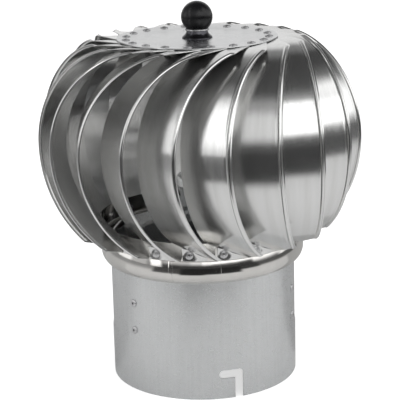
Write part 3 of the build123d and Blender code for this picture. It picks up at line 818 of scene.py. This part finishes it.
# The pieces that follow their solids
BODY_OF = {}
for body, names in frame["record"]["behaviour"]["bodies"].items():
    for name in names:
        BODY_OF[name] = body
MATERIAL_OF = {
    "galvanised": ZINC, "housing_steel": HOUSING, "disc_sheet": DISC, "rivet_aluminium": RIVET,
    "fastener_steel": FASTENER, "bearing_steel": BEARING, "spring_steel": SPRING, "cage_plastic": CAGE,
    "axle_steel": AXLE,
}
REDRAWN = ("collar_ring", "ball_knob", "knob_washer", "hub_cone")
TURNED = ("base_tube", "top_disc")
for row in frame["record"]["subparts"]:
    name = row["node"]
    slot = row["material_slot"]
    if slot == "blade_steel" or name in REDRAWN:
        continue
    copy = turned_copy if name in TURNED else smooth_copy
    put_on(copy(name, "look_" + name), BODY_OF[name], [name], MATERIAL_OF[slot])


# The pieces that are drawn anew on the same sizes
def collar_piece():
    """The polished collar: a barrel rolled in to a crease and out again to the band that takes the feet."""
    lip_in = COLLAR_WIDEST_R - COLLAR_LIP_R
    lip_drop = COLLAR_WIDEST_Z - COLLAR_LIP_Z
    lower_roll_r = (lip_in**2 + lip_drop**2) / (2 * lip_in)
    lower_angle = -math.degrees(math.asin(lip_drop / lower_roll_r))
    upper_angle = math.degrees(math.asin((COLLAR_CREASE_Z - COLLAR_WIDEST_Z) / COLLAR_UPPER_ROLL_R))

    def side(offset):
        low = (COLLAR_WIDEST_R - lower_roll_r, COLLAR_WIDEST_Z)
        high = (COLLAR_WIDEST_R - COLLAR_UPPER_ROLL_R, COLLAR_WIDEST_Z)
        points = arc_points(low, lower_roll_r + offset, lower_angle, 0, COLLAR_ROLL_STEPS)
        points += arc_points(high, COLLAR_UPPER_ROLL_R + offset, 0, upper_angle, COLLAR_ROLL_STEPS)[1:]
        points += [(COLLAR_BAND_R - inward + offset, COLLAR_BAND_Z - below) for inward, below in BAND_CORNER]
        points.append((COLLAR_BAND_R + offset, COLLAR_TOP_Z))
        return points

    def outer_skin(height):
        """The radius from which a point belongs to the barrel's outer skin."""
        roll = lower_roll_r if height < COLLAR_WIDEST_Z else COLLAR_UPPER_ROLL_R
        drop = roll - math.sqrt(roll**2 - (height - COLLAR_WIDEST_Z) ** 2)
        return COLLAR_WIDEST_R - drop - COLLAR_SHEET / 3

    def lap(azimuth, radius, height):
        """How far the lap seam lifts the barrel's outer skin."""
        turn = (azimuth + 180) % 360 - 180
        if height > COLLAR_CREASE_Z or radius < outer_skin(height):
            return 0.0
        if LAP_LIP_START < turn < LAP_LIP_END:
            return LAP_LIP_SHARE * LAP_RISE
        return LAP_RISE if LAP_START < turn < LAP_END else 0.0

    azimuths = [360 * i / COLLAR_TURN_STEPS - 180 for i in range(COLLAR_TURN_STEPS)]
    for edge in (LAP_LIP_START, LAP_LIP_END, LAP_START, LAP_END):
        azimuths += [edge + turn for turn in LAP_EDGE_TURNS]
    outline = side(0.0) + side(-COLLAR_SHEET)[::-1]
    return lathe("polished_collar", outline, sorted(azimuths), lap, COLLAR_SHARP)


def ball_piece(flat_z):
    """The ball, cut flat below, with a round hole for its threaded insert."""
    ball_z = flat_z + math.sqrt(BALL_R**2 - BALL_FLAT_R**2)
    flat_angle = -math.degrees(math.acos(BALL_FLAT_R / BALL_R))
    outline = [(INSERT_R, flat_z), (BALL_FLAT_R - BALL_FLAT_ROUND, flat_z)]
    outline += arc_points((0, ball_z), BALL_R, flat_angle + BALL_FLAT_TURN, 90, BALL_STEPS)
    outline += [(0.0, flat_z + INSERT_DEPTH), (INSERT_R, flat_z + INSERT_DEPTH)]
    return lathe("knob_ball", outline, sharp=BALL_SHARP)


def washer_piece(bottom, top):
    """The thin bright washer between cone nut and ball."""
    outline = [
        (STUD_R + WASHER_PLAY, bottom), (WASHER_R - WASHER_EDGE, bottom), (WASHER_R, bottom + WASHER_EDGE),
        (WASHER_R, top - WASHER_EDGE), (WASHER_R - WASHER_EDGE, top), (STUD_R + WASHER_PLAY, top),
    ]
    return lathe("knob_collar_washer", outline)


def cone_piece(bottom, top):
    """The cone nut: a short upright foot, then a waisted cone."""
    waist = (bottom + top) / 2
    outline = [(STUD_R, bottom)]
    outline += [(CONE_BASE_R - inward, bottom + above) for inward, above in CONE_FOOT]
    outline += [
        (CONE_SHOULDER_R, bottom + CONE_SHOULDER_RISE), (CONE_WAIST_R, waist + CONE_WAIST_RISE),
        (CONE_NECK_R, waist + CONE_NECK_RISE), (CONE_TOP_R + CONE_TOP_FLARE, top - CONE_TOP_DROP),
        (CONE_TOP_R, top), (STUD_R, top),
    ]
    return lathe("cone_nut", outline)


CONE_BOTTOM_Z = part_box("hub_cone")[0][2] / MM
CONE_TOP_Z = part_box("hub_cone")[1][2] / MM
BALL_FLAT_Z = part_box("ball_knob")[0][2] / MM
put_on(collar_piece(), "rotor", ["collar_ring"], COLLAR)
put_on(ball_piece(BALL_FLAT_Z), "rotor", ["ball_knob"], BLACK)
put_on(washer_piece(CONE_TOP_Z, BALL_FLAT_Z), "rotor", ["knob_washer"], FASTENER)
put_on(cone_piece(CONE_BOTTOM_Z, CONE_TOP_Z), "rotor", ["hub_cone"], CONE)


# Floor, light and camera
def floor_tone(tree):
    """Darkness of the floor in reflections: pale near the object, a dark studio farther out in front."""
    place = node(tree, "ShaderNodeTexCoord")
    split = node(tree, "ShaderNodeSeparateXYZ")
    tree.links.new(place.outputs["Object"], split.inputs[0])
    x, y, _ = split.outputs
    away = math_node(tree, "SQRT", total(tree, [times(tree, x, x), times(tree, y, y)]))
    azimuth = front_azimuth(tree, x, y)
    zones = [
        # azimuth from, to, distance in m where it starts and is full, darkness
        (-200, -136, 0.5, 0.9, 0.45),
        (-136, -54, 0.5, 0.9, 0.5),
        (-54, -24, 0.42, 0.5, 0.92),
        (-24, 1, 0.31, 0.41, 1.0),
        (1, 40, 0.37, 0.46, 1.0),
        (40, 62, 0.57, 0.7, 0.95),
        (62, 126, 0.6, 0.88, 0.85),
        (126, 200, 0.5, 0.9, 0.45),
    ]
    dull_zones = [
        # azimuth from, to, least darkness
        (-200, -130, 0.3),
        (-130, -88, 0.2),
        (102, 200, 0.36),
    ]
    parts = []
    for low, high, near, full, level in zones:
        ramp = remap(tree, away, near, full, 0.0, level)
        parts.append(times(tree, band(tree, azimuth, low, high, FLOOR_SOFT), ramp))
    dark = total(tree, parts)
    for low, high, level in dull_zones:
        dark = larger(tree, dark, times(tree, band(tree, azimuth, low, high, FLOOR_SOFT), level))
    return mixed_color(tree, dark, FLOOR_WHITE, FLOOR_DARK)


def stage_floor():
    """A plain white floor, which only reflections see in other tones."""
    mesh = bpy.data.meshes.new("floor")
    corners = [(-1, -1), (1, -1), (1, 1), (-1, 1)]
    mesh.from_pydata([(x * FLOOR_REACH, y * FLOOR_REACH, 0) for x, y in corners], [], [(0, 1, 2, 3)])
    floor = placed("floor", mesh)
    floor.location = (0, 0, -FLOOR_DROP)
    material = bpy.data.materials.new("floor")
    material.use_nodes = True
    tree = material.node_tree
    tree.nodes.clear()
    out = node(tree, "ShaderNodeOutputMaterial")
    seen = node(tree, "ShaderNodeLightPath").outputs["Is Camera Ray"]
    tone = mixed_color(tree, seen, floor_tone(tree), FLOOR_WHITE)
    white = node(tree, "ShaderNodeBsdfDiffuse")
    tree.links.new(tone, white.inputs["Color"])
    glow = node(tree, "ShaderNodeEmission")
    glow.inputs["Color"].default_value = (1, 1, 1, 1)
    tree.links.new(times(tree, seen, FLOOR_GLOW), glow.inputs["Strength"])
    both = node(tree, "ShaderNodeAddShader")
    tree.links.new(white.outputs[0], both.inputs[0])
    tree.links.new(glow.outputs[0], both.inputs[1])
    tree.links.new(both.outputs[0], out.inputs["Surface"])
    floor.data.materials.append(material)


def studio_light(tree):
    """Brightness of the studio in each direction: soft boxes left and right, a white backdrop behind."""
    place = node(tree, "ShaderNodeTexCoord")
    split = node(tree, "ShaderNodeSeparateXYZ")
    tree.links.new(place.outputs["Generated"], split.inputs[0])
    x, y, z = split.outputs
    elevation = times(tree, math_node(tree, "ARCSINE", z), DEGREES)
    azimuth = front_azimuth(tree, x, y)
    either_side = math_node(tree, "ABSOLUTE", azimuth)
    bowed = total(tree, [azimuth, times(tree, times(tree, elevation, elevation), WORLD_BOW)])
    patches = [
        # along, from, to, elevation from, to, level, soft edge along, soft edge in elevation
        (azimuth, 10, 33, 12, 50, 1.5, 1.5, 2.5),
        (azimuth, 33, 57, 11.5, 40, 1.45, 1.5, 2.5),
        (azimuth, 57, 94, 5, 54, 1.2, 1.5, 3.5),
        (azimuth, 94, 112, -3, 31, 0.95, 3.0, 5.0),
        (azimuth, 112, 136, -3, 17, 0.7, 4.0, 4.0),
        (azimuth, -1, 10, 10, 40, 1.15, 1.5, 3.0),
        (azimuth, -14, -1, 11, 39, 0.75, 3.0, 4.0),
        (azimuth, -46, -14, 12, 44, 0.52, 4.0, 5.0),
        (bowed, -59.5, -46.5, 6, 50, 1.7, 1.5, 5.0),
        (bowed, -59.5, -46.5, -9, 6, 0.95, 1.5, 5.0),
        (azimuth, -86, -64, -6, 42, 0.36, 3.0, 5.0),
        (azimuth, -108, -86, -8, 25, 0.95, 2.0, 4.0),
        (azimuth, -110, -97, 25, 34, 0.5, 2.0, 5.0),
        (azimuth, -150, -108, -8, 16, 0.22, 4.0, 6.0),
        (either_side, 150, 200, -8, 36, 0.62, 8.0, 6.0),
        (either_side, -20, 110, 46, 60, 0.16, 6.0, 6.0),
    ]
    parts = []
    for along, low, high, bottom, top, level, soft_along, soft_up in patches:
        across = band(tree, along, low, high, soft_along)
        upright = band(tree, elevation, bottom, top, soft_up)
        parts.append(times(tree, times(tree, across, upright), level))
    # the plain light is left out low in front, high on the right and overhead
    below_front = times(tree, band(tree, azimuth, -50, 60, 3.0), band(tree, elevation, -90, 8, 3.0))
    right_top = times(tree, band(tree, azimuth, 30, 152, 4.0), remap(tree, elevation, 34, 42, 0.0, 1.0))
    above = larger(tree, right_top, remap(tree, elevation, 50, 62, 0.0, 1.0))
    plain = math_node(tree, "SUBTRACT", 1.0, larger(tree, below_front, above))
    parts.append(times(tree, plain, WORLD_PLAIN))
    parts.append(WORLD_LEAST)
    return total(tree, parts)


def studio_world():
    """White to the camera, and a photo studio to the object."""
    world = bpy.data.worlds.new("studio")
    bpy.context.scene.world = world
    world.use_nodes = True
    tree = world.node_tree
    tree.nodes.clear()
    out = node(tree, "ShaderNodeOutputWorld")
    seen = node(tree, "ShaderNodeLightPath")
    picked = larger(tree, seen.outputs["Is Camera Ray"], seen.outputs["Is Transmission Ray"])
    mixed = node(tree, "ShaderNodeMix", data_type="FLOAT")
    tree.links.new(picked, mixed.inputs[MIX_FACTOR])
    tree.links.new(studio_light(tree), mixed.inputs[MIX_VALUES[0]])
    mixed.inputs[MIX_VALUES[1]].default_value = 1.0
    background = node(tree, "ShaderNodeBackground")
    background.inputs["Color"].default_value = (1, 1, 1, 1)
    tree.links.new(mixed.outputs[MIX_VALUE], background.inputs["Strength"])
    tree.links.new(background.outputs[0], out.inputs["Surface"])


def overhead_lamp():
    """A wide soft lamp above that evens the light on the floor and on matt surfaces."""
    lamp = bpy.data.lights.new("overhead", "AREA")
    lamp.shape = "DISK"
    lamp.size = LAMP_SIZE
    lamp.energy = LAMP_ENERGY
    piece = placed("overhead", lamp)
    piece.location = LAMP_PLACE
    piece.visible_glossy = False
    piece.visible_camera = False


def photo_camera():
    """The camera at the photograph's viewing angle."""
    level = math.cos(CAMERA_PITCH)
    forward = Vector((math.sin(CAMERA_YAW) * level, math.cos(CAMERA_YAW) * level, -math.sin(CAMERA_PITCH)))
    right = Vector((math.cos(CAMERA_YAW), -math.sin(CAMERA_YAW), 0))
    up = right.cross(forward)
    rolled_right = math.cos(CAMERA_ROLL) * right + math.sin(CAMERA_ROLL) * up
    rolled_up = -math.sin(CAMERA_ROLL) * right + math.cos(CAMERA_ROLL) * up
    camera = placed("camera", bpy.data.cameras.new("camera"))
    camera.data.lens = CAMERA_LENS
    camera.data.sensor_width = CAMERA_SENSOR
    camera.data.sensor_fit = "HORIZONTAL"
    camera.data.clip_start = CAMERA_NEAR
    camera.data.clip_end = CAMERA_FAR
    camera.matrix_world = Matrix((
        (rolled_right.x, rolled_up.x, -forward.x, 0.0),
        (rolled_right.y, rolled_up.y, -forward.y, CAMERA_Y),
        (rolled_right.z, rolled_up.z, -forward.z, CAMERA_Z),
        (0, 0, 0, 1),
    ))
    bpy.context.scene.camera = camera


overhead_lamp()
stage_floor()
studio_world()
photo_camera()
bpy.context.scene.view_settings.view_transform = "Standard"
